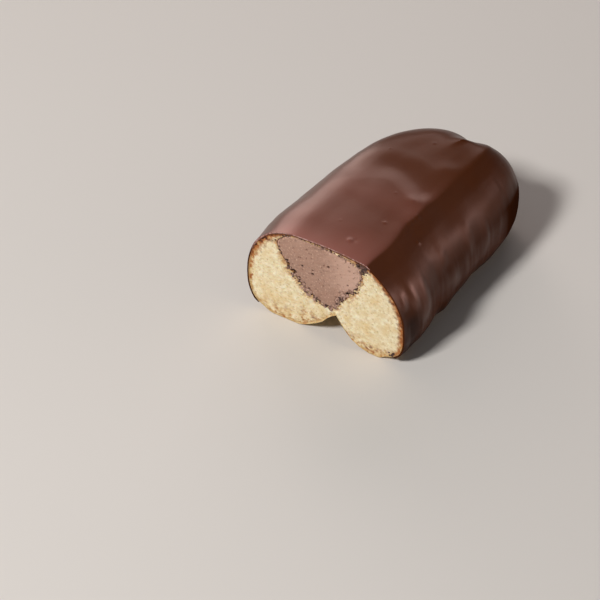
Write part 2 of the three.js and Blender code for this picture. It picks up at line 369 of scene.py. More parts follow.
def make_piece(name, points, faces, material, replaces=None, looks=None):
    """A mesh object from points in millimetres, riding on the one body."""
    used = np.unique(np.concatenate([np.asarray(face) for face in faces]))
    place = np.zeros(len(points), int)
    place[used] = np.arange(len(used))
    faces = [[int(place[v]) for v in face] for face in faces]
    mesh = bpy.data.meshes.new(name)
    mesh.from_pydata(((points[used] + CUT_TO_ROW) * 0.001).tolist(), [], faces)
    for key, values in (looks or {}).items():
        layer = mesh.attributes.new(key, "FLOAT", "POINT")
        layer.data.foreach_set("value", np.asarray(values, np.float32)[used])
    mesh.polygons.foreach_set("use_smooth", [True] * len(mesh.polygons))
    mesh.materials.append(material)
    mesh.validate()
    piece = bpy.data.objects.new(name, mesh)
    bpy.context.scene.collection.objects.link(piece)
    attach(piece, "root")
    if replaces:
        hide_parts(replaces)


# ---------------- materials

GRAIN_ROUGHNESS = 0.55


def new_material(name):
    material = bpy.data.materials.new(name)
    material.use_nodes = True
    tree = material.node_tree
    return material, tree, tree.nodes["Principled BSDF"]


def add(tree, kind, links=None, **settings):
    """A shader node, with its properties and input values set and its inputs linked."""
    node = tree.nodes.new(kind)
    for key, value in settings.items():
        if hasattr(node, key):
            setattr(node, key, value)
        else:
            node.inputs[key.replace("_", " ")].default_value = value
    for key, source in (links or {}).items():
        tree.links.new(source, node.inputs[key])
    return node


def ramp(tree, factor, stops):
    """A colour ramp with (position, colour) stops."""
    node = tree.nodes.new("ShaderNodeValToRGB")
    elements = node.color_ramp.elements
    while len(elements) < len(stops):
        elements.new(0.5)
    for element, (position, colour) in zip(elements, stops):
        element.position = position
        element.color = (*colour, 1)
    tree.links.new(factor, node.inputs["Fac"])
    return node.outputs["Color"]


def to_linear(value):
    share = value / 255
    return ((share + 0.055) / 1.055) ** 2.4 if value > 10 else share / 12.92


def srgb(red, green, blue):
    """A display colour, 0 to 255, as the linear values that a shader takes."""
    return tuple(to_linear(value) for value in (red, green, blue))


def grain(tree, scale, detail=3.0):
    """Noise fixed to the object, with a scale in waves for each metre."""
    place = add(tree, "ShaderNodeTexCoord").outputs["Object"]
    shape = {"Scale": scale, "Detail": detail, "Roughness": GRAIN_ROUGHNESS}
    return add(tree, "ShaderNodeTexNoise", {"Vector": place}, **shape).outputs["Fac"]


def mask(tree, factor, zero, one):
    """A factor stretched to run from 0 at one of its values to 1 at another."""
    stops = [(zero, (0, 0, 0)), (one, (1, 1, 1))]
    return ramp(tree, factor, sorted(stops))


def blend(tree, factor, first, second):
    """A colour mixed from two, each a colour or an output."""
    node = tree.nodes.new("ShaderNodeMix")
    node.data_type = "RGBA"
    for number, value in ((0, factor), (6, first), (7, second)):
        socket = node.inputs[number]
        if isinstance(value, bpy.types.NodeSocket):
            tree.links.new(value, socket)
        else:
            socket.default_value = value if isinstance(value, float) else (*value, 1)
    return node.outputs[2]


def attribute(tree, name):
    return add(tree, "ShaderNodeAttribute", attribute_name=name).outputs["Fac"]


def bump(tree, shader, height, distance, strength):
    node = add(tree, "ShaderNodeBump", {"Height": height}, Distance=distance, Strength=strength)
    tree.links.new(node.outputs["Normal"], shader.inputs["Normal"])


def soften(shader, weight, radius):
    """Light that passes under the surface, with a reach for red, green and blue in metres."""
    shader.inputs["Subsurface Weight"].default_value = weight
    shader.inputs["Subsurface Radius"].default_value = radius
    shader.inputs["Subsurface Scale"].default_value = 1.0


def set_matte(tree, shader, colour, roughness, reflection):
    """A colour from nodes, with one roughness and reflection all over."""
    tree.links.new(colour, shader.inputs["Base Color"])
    shader.inputs["Roughness"].default_value = roughness
    shader.inputs["Specular IOR Level"].default_value = reflection


def chocolate_material():
    material, tree, shader = new_material("chocolate")
    base = blend(tree, grain(tree, 70), srgb(72, 36, 16), srgb(86, 44, 24))
    # Painted sheen: a paler mauve on the top, most of all near the cut.
    base = blend(tree, attribute(tree, "painted_sheen"), base, srgb(150, 94, 84))
    base = blend(tree, attribute(tree, "thin"), base, srgb(100, 50, 18))
    # Painted shade: darker chocolate low on the sides, and on the right flank by the cut and at its
    # far end.
    base = blend(tree, attribute(tree, "painted_shade"), base, srgb(40, 20, 12))
    # The cut rim is paler, partly the cut chocolate's own tone and partly a painted highlight on its
    # rounded edge.
    rim_grain = mask(tree, grain(tree, 1400, 2), 0.4, 0.6)
    rim = blend(tree, rim_grain, srgb(142, 100, 92), srgb(196, 156, 148))
    base = blend(tree, attribute(tree, "rim"), base, rim)
    tree.links.new(base, shader.inputs["Base Color"])
    waves = {"Value": grain(tree, 60, 1.5)}
    rough = add(tree, "ShaderNodeMapRange", waves, To_Min=0.26, To_Max=0.37)
    tree.links.new(rough.outputs["Result"], shader.inputs["Roughness"])
    tree.links.new(attribute(tree, "shine"), shader.inputs["Specular IOR Level"])
    shader.inputs["Specular Tint"].default_value = (1.0, 0.62, 0.54, 1)
    soften(shader, 0.08, (0.0012, 0.0006, 0.0003))
    bump(tree, shader, grain(tree, 600, 3), 0.00003, 0.5)
    return material


def sponge_material():
    material, tree, shader = new_material("sponge")
    fine = grain(tree, 1300, 3)
    coarse = mask(tree, grain(tree, 560, 2), 0.35, 0.65)
    pale = blend(tree, coarse, srgb(234, 214, 172), srgb(252, 240, 208))
    pale = blend(tree, mask(tree, grain(tree, 190, 2), 0.45, 0.7), pale, srgb(234, 209, 160))
    crumb = blend(tree, mask(tree, fine, 0.6, 0.72), pale, srgb(254, 246, 222))
    crumb = blend(tree, mask(tree, fine, 0.38, 0.28), crumb, srgb(212, 188, 138))
    # Painted shade in the pores: the crumb is coloured darker where they lie.
    crumb = blend(tree, attribute(tree, "pore"), crumb, srgb(210, 183, 132))
    toast_tones = [
        (0.0, srgb(230, 208, 160)),
        (0.3, srgb(206, 170, 118)),
        (0.55, srgb(176, 108, 58)),
        (0.78, srgb(98, 56, 36)),
        (1.0, srgb(48, 26, 18)),
    ]
    toast = ramp(tree, attribute(tree, "toast"), toast_tones)
    crumb = blend(tree, attribute(tree, "toasted"), crumb, toast)
    set_matte(tree, shader, crumb, 0.9, 0.25)
    soften(shader, 0.25, (0.0012, 0.0008, 0.0004))
    bump(tree, shader, fine, 0.0002, 0.7)
    return material


def cream_material():
    material, tree, shader = new_material("cream")
    base = blend(tree, grain(tree, 110, 4), srgb(154, 118, 101), srgb(190, 152, 134))
    base = blend(tree, attribute(tree, "pale"), base, srgb(212, 174, 156))
    base = blend(tree, mask(tree, grain(tree, 1500, 2), 0.56, 0.72), base, srgb(208, 174, 152))
    base = blend(tree, mask(tree, grain(tree, 1000, 3), 0.39, 0.28), base, srgb(134, 99, 84))
    # Painted shade: the pits, hollows and deepest crumbly bits are coloured dark.
    base = blend(tree, attribute(tree, "painted_pit_shade"), base, srgb(58, 36, 28))
    set_matte(tree, shader, base, 0.75, 0.3)
    soften(shader, 0.15, (0.001, 0.0006, 0.0004))
    bump(tree, shader, grain(tree, 900, 4), 0.0002, 0.8)
    return material


def crumb_material(name, first, second):
    material, tree, shader = new_material(name)
    colour = blend(tree, mask(tree, grain(tree, 800), 0.4, 0.6), first, second)
    set_matte(tree, shader, colour, 0.8, 0.5)
    bump(tree, shader, grain(tree, 2000), 0.0001, 0.6)
    return material


# ---------------- chocolate coating

# Pimples and small pits: x, y, radius, height.
PIMPLES = [
    (6.6, -5.2, 0.85, 0.34), (7.4, -6.6, 0.9, -0.1), (19.7, -10.3, 0.45, 0.26),
    (62.1, -5.0, 0.6, 0.12), (24.8, -16.5, 0.8, 0.22), (26.4, -17.0, 0.7, 0.2),
    (28.5, -17.3, 0.8, 0.24), (21.7, -21.4, 0.5, 0.3), (33.5, -6.5, 0.3, 0.14),
    (13.0, 2.0, 0.35, 0.1), (52.0, 6.0, 0.4, 0.12),
]
PIMPLE_FLOOR = 20
# Runs of chocolate down the right flank, from top to bottom: x, z, x, z, half width, height.
RUNS = [
    (7.7, 31.0, 7.2, 20.0, 1.4, 0.36),
    (3.8, 29.0, 2.4, 22.0, 1.3, 0.34),
    (13.1, 30.5, 12.0, 21.0, 1.5, 0.24),
    (12.0, 24.0, 10.5, 13.0, 2.2, 0.3),
    (26.8, 29.1, 27.0, 22.3, 1.8, 0.25),
    (28.1, 19.4, 32.4, 10.4, 2.2, 0.3),
    (42.2, 30.4, 39.0, 18.7, 2.0, 0.24),
    (50.5, 27.0, 48.0, 12.0, 1.5, 0.2),
    (58.0, 24.0, 56.0, 9.0, 1.3, 0.16),
]
FLANK = -18  # the right flank is where y is less

SURFACE_INSET = 0.2  # leaves room for the relief inside the solid's own surface
CLEARANCE = 0.02  # from the looks to the solids' box
LIP = 0.12  # the coating is thicker by this near its lower edge
LIP_ABOVE = 1.2
LIP_REACH = 1.3
RIM_BACK = 0.12  # the cut rim's corners lie this far behind the cut
RIM_ROUND = 0.1  # and its middle stands out from them by this
# The cut rim's pale colour, partly a painted highlight, shows high up and stops short of the right
# flank: start and span of the height, then the y where it ends.
PALE_RIM_UP = (22, 8)
PALE_RIM_RIGHT = -16

# Noise of the coating, in layers: size, strength and seed.
SURFACE_WAVES = [(15, 0.16, 3.1), (6, 0.05, 7.7)]
SIDE_STREAKS = [((3.0, 12.0, 15.0), 0.12, 11.0), ((1.3, 10.0, 12.0), 0.04, 33.0)]
GLOSS_STREAKS = [((2.4, 14.0, 16.0), 1.0, 27.0), ((1.1, 10.0, 12.0), 0.8, 33.0)]
EDGE_RAGS = [((2.6, 2.6, math.inf), 1.0, 5.0), ((1.1, 1.1, math.inf), 0.6, 8.0)]
LIP_WAVES = [((2.4, 2.4, 8.0), 0.2, 14.0)]
RIM_GRAIN = [(0.9, 0.1, 31.0)]
THIN_PATCHES = [(9, 0.6, 21.0)]
PAINTED_SHEEN_PATCHES = [(11, 0.3, 41.0)]

# Where the coating's looks change: start and span, of the normal's upward part.
TOP = (0.3125, 0.625)
SIDE = (0.5, -1 / 2.4)
DULL_SIDE = (1.6 / 2.4, -1 / 2.4)
THIN_SIDE = (0.875, -0.625)
PAINTED_SHEEN_LEFT = (2.2 / 3.2, 1 / 3.2)
PAINTED_SHEEN_RIGHT = (7.8 / 9, 1 / 9)
# The same, of the height and of the length, in millimetres.
THIN_UP = (21, 9)
SHADE_DOWN = (11, -8)
SHADE_CORNER_DOWN = (22, -6)
SHADE_ALONG = (56, 12)
GLOSSY_ALONG = (0, 22)
GLOSS_END = (48, 12)
DULL_ALONG = (44, 12)
DULLEST_ALONG = (56, 8)
# Humps of a look along the length: centre and reach.
SHADE_CORNER = (4, 4)
FAR_PAINTED_SHEEN = (30, 10)
PAINTED_SHEEN_REACH = 14

THIN_MOST = 0.6
# Strength of the painted shade, and of its far part on the right.
SHADE_MOST = 0.8
SHADE_FAR_MOST = 0.9
# Strength of the painted sheen near the cut and farther along.
PAINTED_SHEEN_MOST = 0.85
FAR_PAINTED_SHEEN_MOST = 0.2
# Gloss: how strongly light is reflected on the top, and how much of that the rest loses.
SHINE = 0.5
SIDE_LOSS = 0.88
FAR_LOSS = 0.66
RUN_GLOSS = 2.6
STREAK_GLOSS = 0.36
# The bright patch of the right flank beside the cut: x, z, reach, strength.
GLEAM = (7, 25.5, 5, 0.9)


def on_right(points):
    """Whether each point is right of the bun's middle."""
    return points[:, 1] < middle(points[:, 0] / LENGTH)


def edge_height(feet):
    """Height of the coating's lower edge above points of the feet."""
    from_tip = np.hypot(feet[:, 0] - LENGTH, feet[:, 1] - middle(1))
    waves = EDGE_WAVES * (1 + layers(feet, EDGE_RAGS))
    return EDGE_HEIGHT + waves + BARE_PATCH * hump(from_tip, 0, BARE_SPAN)


def trimmed(rows):
    """The form's rows, each divided again between its crossings of the lower edge's height."""
    half = rows.shape[1] // 2
    number = np.arange(2 * half + 1)
    heights = [edge_height(rows[:, 0]), edge_height(rows[:, -1])]
    heights[1][-1] = heights[0][-1]
    out = np.empty_like(rows)
    for k, row in enumerate(rows):
        left = np.interp(heights[0][k], row[: half + 1, 2], number[: half + 1])
        right = 2 * half - np.interp(heights[1][k], row[: half - 1 : -1, 2], number[: half + 1])
        at = np.r_[np.linspace(left, half, half + 1), np.linspace(half, right, half + 1)[1:]]
        out[k] = np.stack([np.interp(at, number, row[:, i]) for i in range(3)], 1)
    return out


def run_relief(points):
    """Runs down the right flank, with a soft ridge along each."""
    relief = np.zeros(len(points))
    for x0, z0, x1, z1, half_width, height in RUNS:
        start, span = np.array([x0, z0]), np.array([x1 - x0, z1 - z0])
        rel = points[:, [0, 2]] - start
        at = rel @ span / (span @ span)
        off = np.linalg.norm(rel - np.clip(at, 0, 1)[:, None] * span, axis=1)
        relief += height * band(np.abs(at - 0.5), 0.5, 1.2) * hump(off, 0, half_width)
    return relief * (points[:, 1] < FLANK)


def coating_relief(points, normals):
    """How far the chocolate's surface stands out from the form at each point."""
    x, y, z = points.T
    relief = layers(points, SURFACE_WAVES) - SURFACE_INSET
    for at_x, at_y, radius, height in PIMPLES:
        relief += height * hump(np.hypot(x - at_x, y - at_y), 0, radius) * (z > PIMPLE_FLOOR)
    side = 1 - rise(normals[:, 2], *TOP)
    relief += side * (run_relief(points) + layers(points, SIDE_STREAKS))
    lip = hump(z, EDGE_HEIGHT + LIP_ABOVE, LIP_REACH)
    return relief + lip * (LIP + layers(points, LIP_WAVES))


def thin_chocolate(points, normals):
    """Where the coating lets the sponge's warm colour through: high on its sides."""
    high_side = rise(normals[:, 2], *THIN_SIDE) * rise(points[:, 2], *THIN_UP)
    return np.clip(high_side * (THIN_MOST + layers(points, THIN_PATCHES)), 0, 1)


def painted_shade_at(points, normals):
    """Painted shade: where the coating is painted darkest, low on the sides and, on the right, higher
    up near the cut and far end.
    """
    x, _, z = points.T
    corner = hump(x, *SHADE_CORNER) * rise(z, *SHADE_CORNER_DOWN)
    far = SHADE_FAR_MOST * rise(x, *SHADE_ALONG)
    most = np.maximum(rise(z, *SHADE_DOWN), np.maximum(corner, far) * on_right(points))
    return SHADE_MOST * most * rise(normals[:, 2], *SIDE)


def painted_sheen_at(points, normals):
    """Painted sheen: the coating's top is painted paler, most of all near the cut, as the soft
    lights' reflection.
    """
    x, up = points[:, 0], normals[:, 2]
    top = np.where(on_right(points), rise(up, *PAINTED_SHEEN_RIGHT), rise(up, *PAINTED_SHEEN_LEFT))
    near = np.exp(-x / PAINTED_SHEEN_REACH) + FAR_PAINTED_SHEEN_MOST * hump(x, *FAR_PAINTED_SHEEN)
    return np.clip(top * near * (PAINTED_SHEEN_MOST + layers(points, PAINTED_SHEEN_PATCHES)), 0, 1)


def shine_at(points, normals):
    """How strongly the chocolate reflects: less on its sides, save for the runs, and far away."""
    x, y, z = points.T
    runs = run_relief(points)
    streaks = layers(points, GLOSS_STREAKS)
    gloss = RUN_GLOSS * runs + STREAK_GLOSS * np.clip(streaks, -0.3, 1)
    gloss *= mix(1.8, 0.7, rise(x, *GLOSSY_ALONG)) * (1 - rise(x, *GLOSS_END))
    side_loss = mix(SIDE_LOSS, 1, rise(x, *DULLEST_ALONG)) - np.clip(gloss, 0, 0.9)
    loss = np.maximum(rise(normals[:, 2], *DULL_SIDE) * side_loss, FAR_LOSS * rise(x, *DULL_ALONG))
    at_x, at_z, reach, strength = GLEAM
    gleam = hump(x, at_x, reach) * hump(z, at_z, reach) * (y < FLANK)
    gleam *= np.clip(0.4 + 2.4 * runs + 0.3 * streaks, 0, 1)
    return SHINE * (1 - np.clip(loss, 0, 1)) + strength * gleam


COATING_LOOKS = {"thin": thin_chocolate, "painted_sheen": painted_sheen_at, "shine": shine_at, "painted_shade": painted_shade_at}


def coating():
    """The chocolate: its surface, the inner one behind it, and the rims that join them."""
    outer = trimmed(dressed_form(station_shares(COAT_STATIONS)))
    rows, columns = outer.shape[:2]
    index = fold_last_row(np.arange(rows * columns).reshape(rows, columns))
    faces = clean_faces(grid_faces(index))
    points = outer.reshape(-1, 3)
    normals = vertex_normals(points, faces)
    looks = {key: look(points, normals) for key, look in COATING_LOOKS.items()}
    inner = (points - normals * COAT).reshape(outer.shape)[::INNER_STRIDE]
    points = points + normals * coating_relief(points, normals)[:, None]
    points[:, 2] = np.minimum(points[:, 2], HEIGHT - CLEARANCE)
    points[index[0], 0] = 0
    inner[0, :, 0] = 0
    inner_index = len(points) + np.arange(inner.shape[0] * columns).reshape(-1, columns)
    fold_last_row(inner_index)
    faces += clean_faces(grid_faces(inner_index, flip=True))
    for column, flip in ((0, False), (columns - 1, True)):
        for k in range(len(inner) - 1):
            steps = index[k * INNER_STRIDE : (k + 1) * INNER_STRIDE + 1, column].tolist()
            face = steps + [inner_index[k + 1, column], inner_index[k, column]]
            faces += clean_faces([face[::-1] if flip else face])
    points = np.vstack([points, inner.reshape(-1, 3)])

    # The rim at the cut has its own points, so that its colour and corners stay sharp.
    standing_out = np.array([0, 1, 1, 0])
    share = np.linspace(0, 1, len(standing_out))[:, None, None]
    rim = mix(points[inner_index[0]][None], points[index[0]][None], share).reshape(-1, 3)
    rounded = np.repeat(standing_out, columns) * (RIM_ROUND - layers(rim, RIM_GRAIN))
    rim[:, 0] = np.maximum(RIM_BACK - rounded, 0)
    rim_index = len(points) + np.arange(len(rim)).reshape(-1, columns)
    faces += grid_faces(rim_index)
    points = np.vstack([points, rim])
    on_rim = np.zeros(len(points))
    on_rim[rim_index.ravel()] = rise(rim[:, 2], *PALE_RIM_UP) * (rim[:, 1] > PALE_RIM_RIGHT)
    looks = {key: np.r_[look, np.zeros(len(points) - len(look))] for key, look in looks.items()}
    return points, faces, {**looks, "rim": on_rim}


# ---------------- sponge

# The toasted crust along the section's edge: y, z, width, tone from 0 (gold) to 1 (dark).
CRUST = [
    (-17.5, 0.3, 1.6, 0.24), (-22.5, 1.2, 1.7, 0.26), (-26.5, 5.0, 1.8, 0.38),
    (-28.3, 12.0, 2.0, 0.50), (-27.5, 21.0, 2.1, 0.56), (-22.0, 31.0, 2.1, 0.58),
    (-17.0, 35.0, 1.7, 0.60), (-14.5, 36.8, 2.6, 0.74), (-8.0, 37.6, 1.2, 0.70),
    (0.0, 38.1, 1.1, 0.70), (10.0, 37.7, 1.3, 0.70), (17.0, 36.2, 2.2, 0.66),
    (22.5, 32.5, 2.8, 0.58), (26.5, 26.0, 2.4, 0.50), (28.3, 17.0, 1.5, 0.36),
    (26.0, 3.5, 1.0, 0.22), (19.0, 0.3, 1.0, 0.22), (8.0, 1.0, 1.3, 0.26),
    (1.0, 5.5, 1.8, 0.28), (-3.0, 10.0, 1.3, 0.26), (-5.0, 9.0, 0.5, 0.22),
    (-8.0, 5.0, 0.6, 0.24), (-13.0, 1.0, 1.1, 0.28),
]
SEAM_CRUST = 1.5  # width of the toasted band beside the cream
STAIN_HEIGHT = 8.0  # the crumb is toasted in patches up to here above the feet
STAIN_AT_GROOVE = (6, 5)  # and up to twice as high about this y, with this reach
BURNT = 0.22  # how much darker the crust is along its outer half
BURNT_TONES = (0.34, 0.1)  # where its tone is past this start and span
SIDE_TOAST = (0.92, 0.5)  # strength and tone where the sponge isn't cut
UNDERSIDE_TONE = 0.2
UNDERSIDE_HEIGHT = 6

# Noise of the crumb, in layers: size, strength and seed.
MOTTLE = [(1.4, 0.75, 4.0), (0.6, 0.45, 9.0)]
PATCHES = [(2.3, 0.8, 6.5), (0.9, 0.9, 7.5), (0.45, 0.5, 5.5)]
CRUMB_LUMPS = [(1.0, 0.1, 8.0), (0.5, 0.05, 18.0)]
TUNNEL_RAGS = [(1.5, 1.0, 2.0), (0.6, 0.5, 3.0)]
UNDERSIDE_MOTTLE = [(3.2, 0.6, 4.0), (1.0, 0.5, 9.0)]
UNDERSIDE_LUMPS = [(1.2, 0.12, 2.0)]
# Pores of the crumb: spacing, weight, radius as a share of the spacing, seed.
PORES = [(1.3, 1.0, 0.36, 1.0), (0.6, 0.5, 0.3, 6.0)]
PORE_SLOPE = 0.3
PORE_DEPTH = 0.12
LEAST_SINK = 0.1


def groove_roof(share, right_foot, left_foot):
    """Points of the groove's roof from right to left at a share of the length: y and z."""
    taper = rise(share, GROOVE_TAPER_FROM, 1 - GROOVE_TAPER_FROM)
    apex = GROOVE[GROOVE_APEX][0]
    widest = GROOVE[-1][0] - GROOVE[0][0]
    size = min(mix(1, GROOVE_TIP, taper), GROOVE_SHARE * (left_foot - right_foot) / widest)
    shift = mix(apex, 0, taper) + middle(share)
    roof = np.array([(shift + (y - apex) * size, z * size) for y, z in GROOVE])
    least_foot = LEAST_FOOT * size
    roof[:, 0] = np.clip(roof[:, 0], right_foot + least_foot, left_foot - least_foot)
    return roof


def bottom_line(right_foot, left_foot, share):
    """The underside from the right foot to the left one, over the groove."""
    roof = groove_roof(share, right_foot[1], left_foot[1])
    corners = [right_foot[1:], *roof, left_foot[1:]]
    foot_steps = BOTTOM_STEPS // 8
    roof_steps = (BOTTOM_STEPS - 2 * foot_steps) // (len(roof) - 1)
    line = [np.asarray(corners[0])[None]]
    for k, (a, b) in enumerate(zip(corners, corners[1:])):
        count = foot_steps if k in (0, len(corners) - 2) else roof_steps
        line.append(mix(np.asarray(a), np.asarray(b), np.linspace(0, 1, count + 1)[1:, None]))
    line = np.vstack(line)
    reach = max(left_foot[1] - right_foot[1], 1e-6)
    at = np.clip((line[:, 0] - right_foot[1]) / reach, 0, 1)
    return np.column_stack([mix(right_foot[0], left_foot[0], at), line])


def cream_outline(count):
    return spline(CREAM, count, closed=True)[:-1]


def cream_edge(directions):
    """Points of the cream's outline that lie in given directions from its centre."""
    rel = cream_outline(720) - CREAM_CENTRE
    angles = [np.arctan2(way[:, 1], way[:, 0]) for way in (directions, rel)]
    reach = np.interp(*angles, np.linalg.norm(rel, axis=1), period=2 * math.pi)
    return CREAM_CENTRE + directions * reach[:, None]


def seam_roughness(pairs):
    """How crumbly the seam beside the cream is at [y, z] points: 0 to 1."""
    y, z = pairs[:, 0], pairs[:, 1]
    left = rise(y, 2, 3) * rise(z, 29, -5)
    right = rise(y, -3, -2) * rise(z, 26, -4)
    return mix(0.3, 1, np.maximum(left, right))


def crust_at(pairs):
    """Width and tone of the toasted crust beside [y, z] points of the section's edge."""
    table = np.array(CRUST)
    away = ((pairs[:, None] - table[None, :, :2]) ** 2).sum(2)
    weight = 1 / (away + 1) ** 2
    weight /= weight.sum(1, keepdims=True)
    return weight @ table[:, 2], weight @ table[:, 3]


def sponge_stations():
    """Stations of the sponge's sides, closest together at the cut."""
    t = np.linspace(0, 1, SPONGE_STATIONS + 1)
    return np.interp(mix(t**2.2, t, 0.35), np.linspace(0, 1, 1001), station_shares(1000))


def sponge_body():
    """The sponge's sides and underside: points, vertex numbers and where the underside starts."""
    shares = sponge_stations()
    outer = dressed_form(shares)
    rows, columns = outer.shape[:2]
    index = fold_last_row(np.arange(rows * columns).reshape(rows, columns))
    flat = outer.reshape(-1, 3)
    normals = vertex_normals(flat, clean_faces(grid_faces(index)))[index.ravel()]
    inset = (flat - normals * (COAT + BEHIND_COAT)).reshape(outer.shape)
    inset[0, :, 0] = 0
    upper = mix(outer, inset, smooth(outer[:, :, 2:] / FOOT_SWELL))
    lower = [bottom_line(row[-1], row[0], share)[1:-1] for row, share in zip(upper, shares)]
    body = np.concatenate([upper, np.stack(lower)], axis=1)
    count = body.shape[1]
    index = np.arange(rows * count).reshape(rows, count)
    index[:, :columns] = fold_last_row(index[:, :columns])
    index[-1, columns:] = index[-1, 0]
    return body.reshape(-1, 3), index, columns


def toasting(face, edge, hole):
    """Strength and tone of the cut face's toasting, and how far it roughens the crumb.

    The edge and the hole hold, for each point of the face, the [y, z] points of the section's
    outline and of the cream's that it lies between.
    """
    y, z = face[:, 1], face[:, 2]
    to_edge = np.linalg.norm(face[:, 1:] - edge, axis=1)
    to_hole = np.linalg.norm(face[:, 1:] - hole, axis=1)
    mottle = 0.5 + layers(face, MOTTLE)
    patches = layers(face, PATCHES)

    width, tone = crust_at(edge)
    crust = band(to_edge, width * (0.65 + 0.8 * np.clip(mottle, 0, 1.2)), 1.35)
    # The toasted band beside the cream is the crumb's own crust. Where the seam is crumbly, low on
    # both sides, it grows wider; on the right that extra width also paints the soft shade beside the
    # seam.
    seam_width = SEAM_CRUST * (0.3 + 1.3 * np.clip(mottle, 0, 1)) * (0.6 + seam_roughness(hole))
    seam = band(to_hole, seam_width, 1.2)
    stain_height = STAIN_HEIGHT * (1 + hump(y, *STAIN_AT_GROOVE))
    stain = band(z, stain_height) * smooth(0.6 + 1.7 * patches)
    strength = np.maximum.reduce([crust, 0.75 * seam, 0.95 * stain])

    shade = np.where(crust > seam, tone + 0.5 * (mottle - 0.5), 0.26 + 0.3 * mottle)
    shade = np.where((crust < stain) & (seam < stain), 0.2 + 0.42 * smooth(patches), shade)
    burnt = BURNT * crust * band(to_edge, 0.5 * width) * rise(tone, *BURNT_TONES)
    shade = shade + 0.25 * stain * np.clip(patches, 0, 1) + burnt
    rough = 0.08 * crust * mottle + 0.45 * seam * np.clip(mottle, 0, 1) + 0.15 * stain
    return np.clip(strength, 0, 1), np.clip(shade, 0, 1), rough


def pores_at(points):
    """The crumb's pores, each round one of many scattered points: 0 outside them."""
    pores = np.zeros(len(points))
    for spacing, weight, radius, seed in PORES:
        shift = Vector((seed, -seed, seed * 0.3))
        away = np.array([noise.voronoi(Vector(p) / spacing + shift)[0][0] for p in points])
        pores += weight * rise(away, radius, -PORE_SLOPE)
    return pores


def sweep_inwards(points, faces, section, first, stations, flip=False):
    """Adds tapering rings along the bun behind a [y, z] section at the cut, and an end."""
    last = first
    for x in stations:
        size = mix(1, CREAM_END, (x / CREAM_LENGTH) ** 4)
        ring = CREAM_CENTRE + (section - CREAM_CENTRE) * size + [middle(x / LENGTH), 0]
        index = len(points) + np.arange(len(ring))
        points = np.vstack([points, np.column_stack([np.full(len(ring), x), ring])])
        faces += grid_faces(closed(np.stack([last, index])), flip)
        last = index
    faces.append(last.tolist()[::-1] if flip else last.tolist())
    return points


def sponge():
    """The porous sponge: its cut face, toasted sides, bare underside and the cream's tunnel."""
    points, index, columns = sponge_body()
    count = index.shape[1]
    faces = clean_faces(grid_faces(closed(index)))

    # The cut face, in rings from the cream's edge out to the first row.
    edge = points[index[0], 1:]
    outward = unit(edge - CREAM_CENTRE)
    hole = cream_edge(outward)
    ragged = np.clip(layers(flat_points(hole), TUNNEL_RAGS) + 0.3, 0, 1.5)
    hole = hole + outward * (0.15 + 0.6 * seam_roughness(hole) * ragged)[:, None]
    ring = np.linspace(0, 1, FACE_RINGS + 1)[:-1, None, None]
    face = flat_points(mix(hole[None], edge[None], ring).reshape(-1, 2))
    face_index = len(points) + np.arange(len(face)).reshape(FACE_RINGS, count)
    faces += grid_faces(closed(np.vstack([face_index, index[:1]])))

    # Crumb, pores and crust of the face.
    edge_all, hole_all = (np.tile(line, (FACE_RINGS, 1)) for line in (edge, hole))
    toasted, toast, rough = toasting(face, edge_all, hole_all)
    pore = pores_at(face)
    sink = LEAST_SINK + layers(face, CRUMB_LUMPS) + PORE_DEPTH * pore + rough
    to_edge = np.linalg.norm(face[:, 1:] - edge_all, axis=1)
    face[:, 0] = np.maximum(CUT * rise(to_edge, 0, 0.5) + sink * rise(to_edge, 0, 0.3), 0)
    points = np.vstack([points, face])
    tunnel = (0.6, 1.6, 4, 12, 30, 50, CREAM_LENGTH)
    points = sweep_inwards(points, faces, hole, face_index[0], tunnel, flip=True)

    # Relief and colour of the bare underside.
    strength, tone = SIDE_TOAST
    looks = {
        "toasted": np.full(len(points), strength),
        "toast": np.full(len(points), tone),
        "pore": np.zeros(len(points)),
    }
    bare = np.unique(index[:, columns:])
    low = np.unique(index[points[index][:, :, 2] < UNDERSIDE_HEIGHT])
    below = np.union1d(bare, low)
    mottle = layers(points[below], UNDERSIDE_MOTTLE)
    looks["toast"][below] = np.clip(UNDERSIDE_TONE + 0.34 * mottle, 0.05, 1)
    lift = bare[(points[bare, 2] > 0.3) & (points[bare, 0] > 0.4)]
    points[lift, 2] += layers(points[lift], UNDERSIDE_LUMPS)

    on_face = face_index.ravel()
    looks["toasted"][on_face] = toasted
    looks["toast"][on_face] = toast
    # The pores' painted shade.
    looks["pore"][on_face] = np.clip(0.8 * pore, 0, 1)
    looks["toasted"][index[0]] = 1.0
    looks["toast"][index[0]] = crust_at(edge)[1]
    return points, faces, looks


# ---------------- cream

# The knife's streaks on the cream's face: fine across their slope and long along it.
STREAK_SLOPE = math.radians(28)
STREAK_LONG = 5
STREAK_FINE = 0.7
STREAK_AXES = np.array([
    [0.1, 0, 0],
    [0, math.cos(STREAK_SLOPE) / STREAK_LONG, math.sin(STREAK_SLOPE) / STREAK_FINE],
    [0, -math.sin(STREAK_SLOPE) / STREAK_LONG, math.cos(STREAK_SLOPE) / STREAK_FINE],
])
STREAK_TONE = 0.18
# Pits in the cream's face, sunk and painted dark as shade: y, z, radius, depth.
PITS = [
    (8.4, 26.0, 0.38, 0.9), (4.6, 24.2, 0.42, 1.0), (4.6, 25.8, 0.3, 0.7), (-1.1, 29.9, 0.4, 0.8),
    (9.1, 29.2, 0.28, 0.5), (-8.2, 25.5, 0.32, 0.6), (2.4, 23.0, 0.2, 0.3), (6.0, 26.4, 0.2, 0.3),
    (-6.0, 28.0, 0.2, 0.25), (0.6, 21.0, 0.25, 0.3), (-4.5, 32.6, 0.22, 0.3),
]
